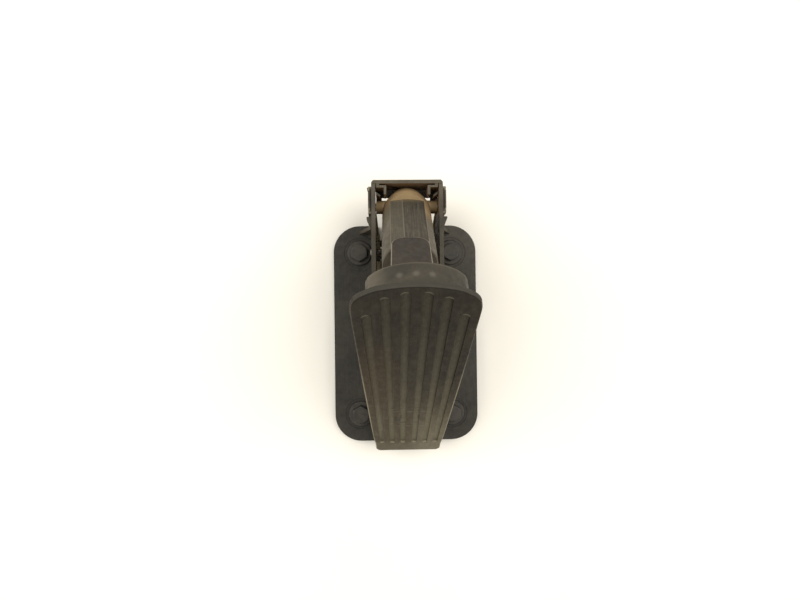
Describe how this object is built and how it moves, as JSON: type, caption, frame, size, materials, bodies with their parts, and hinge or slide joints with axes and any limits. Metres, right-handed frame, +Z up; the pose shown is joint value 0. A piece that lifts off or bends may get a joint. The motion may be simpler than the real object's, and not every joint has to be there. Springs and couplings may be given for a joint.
{
  "type": "foot pedal",
  "caption": "Floor-standing foot pedal: hinged ribbed treadle on a bolted plate, held up by a telescopic spring strut that tilts in a rear housing with a position sensor.",
  "frame": {"origin": "centre of the base plate's underside", "axes": "+Z up, +Y to the rear (heel end of the treadle is at -Y, the strut housing at +Y), +X right"},
  "size_m": [0.118, 0.2077, 0.1891],
  "materials": {
    "plate_plastic": "fine moulded grain, dusty charcoal",
    "housing_plastic": "matte olive-brown, dusty",
    "barrel_plastic": "matte tan-olive, lengthwise scuffs on the track",
    "pad_plastic": "matte, worn smooth on the lands",
    "body_plastic": "matte olive",
    "tongue_plastic": "smooth, half matte",
    "dark_plastic": "matte",
    "bearing_nylon": "satin natural nylon",
    "spring_steel": "drawn wire",
    "zinc_steel": "zinc plated",
    "blackened_steel": "blackened, dusty",
    "circuit_board": "solder mask",
    "contact_brass": "bright",
    "bumper_rubber": "soft black"
  },
  "bodies": {
    "base": {"base_bolt_1": "blackened_steel", "base_bolt_2": "blackened_steel", "base_bolt_3": "blackened_steel", "base_bolt_4": "blackened_steel", "base_plate": "plate_plastic", "base_washer_1": "blackened_steel", "base_washer_2": "blackened_steel", "base_washer_3": "blackened_steel", "base_washer_4": "blackened_steel", "cable_socket": "dark_plastic", "cheek_left": "housing_plastic", "cheek_right": "housing_plastic", "cross_tie_1": "zinc_steel", "cross_tie_2": "zinc_steel", "foot_screw_1": "zinc_steel", "foot_screw_2": "zinc_steel", "foot_screw_3": "zinc_steel", "foot_screw_4": "zinc_steel", "heel_bracket": "zinc_steel", "heel_clip_left": "spring_steel", "heel_clip_right": "spring_steel", "heel_pin": "zinc_steel", "heel_screw_left": "zinc_steel", "heel_screw_right": "zinc_steel", "rear_shelf": "housing_plastic", "rear_wall": "housing_plastic", "sensor_board": "circuit_board", "side_cover_left": "housing_plastic", "side_cover_right": "housing_plastic", "socket_contact_1": "contact_brass", "socket_contact_2": "contact_brass", "socket_contact_3": "contact_brass", "tie_screw_1_left": "zinc_steel", "tie_screw_1_right": "zinc_steel", "tie_screw_2_left": "zinc_steel", "tie_screw_2_right": "zinc_steel", "trunnion_bushing_left": "bearing_nylon", "trunnion_bushing_right": "bearing_nylon"},
    "barrel": {"strut_barrel": "barrel_plastic", "trunnion_pin": "zinc_steel", "sensor_magnet": "dark_plastic", "strut_bumper": "bumper_rubber", "return_spring_outer": "spring_steel", "return_spring_inner": "spring_steel"},
    "plunger": {"strut_plunger": "dark_plastic", "guide_tongue": "tongue_plastic", "tongue_screw_left": "zinc_steel", "tongue_screw_right": "zinc_steel"},
    "treadle": {"treadle_pad": "pad_plastic", "treadle_body": "body_plastic", "ball_socket": "bearing_nylon", "heel_bushing_left": "bearing_nylon", "heel_bushing_right": "bearing_nylon", "pad_screw_1": "zinc_steel", "pad_screw_2": "zinc_steel", "pad_screw_3": "zinc_steel", "pad_screw_4": "zinc_steel"}
  },
  "joints": [
    {"name": "treadle_hinge", "type": "hinge", "parent": "base", "child": "treadle", "pos_m": [0, -0.08, 0.019], "axis": [-1, 0, 0], "range_deg": [0, 12], "stiffness_Nm_per_rad": 12, "springref_deg": -8.59},
    {"name": "barrel_pivot", "type": "hinge", "parent": "base", "child": "barrel", "pos_m": [0, 0.0972, 0.0526], "axis": [-1, 0, 0], "range_deg": [0, 1.96]},
    {"name": "strut_slide", "type": "slide", "parent": "barrel", "child": "plunger", "axis": [0, 0.6428, -0.766], "range_m": [0, 0.03265], "deforming": ["return_spring_outer", "return_spring_inner"]}
  ],
  "couplings": [
    {"joint": "barrel_pivot", "follows": "treadle_hinge", "ratio": 0.163},
    {"joint": "strut_slide", "follows": "treadle_hinge", "m_per_rad": 0.15582}
  ]
}
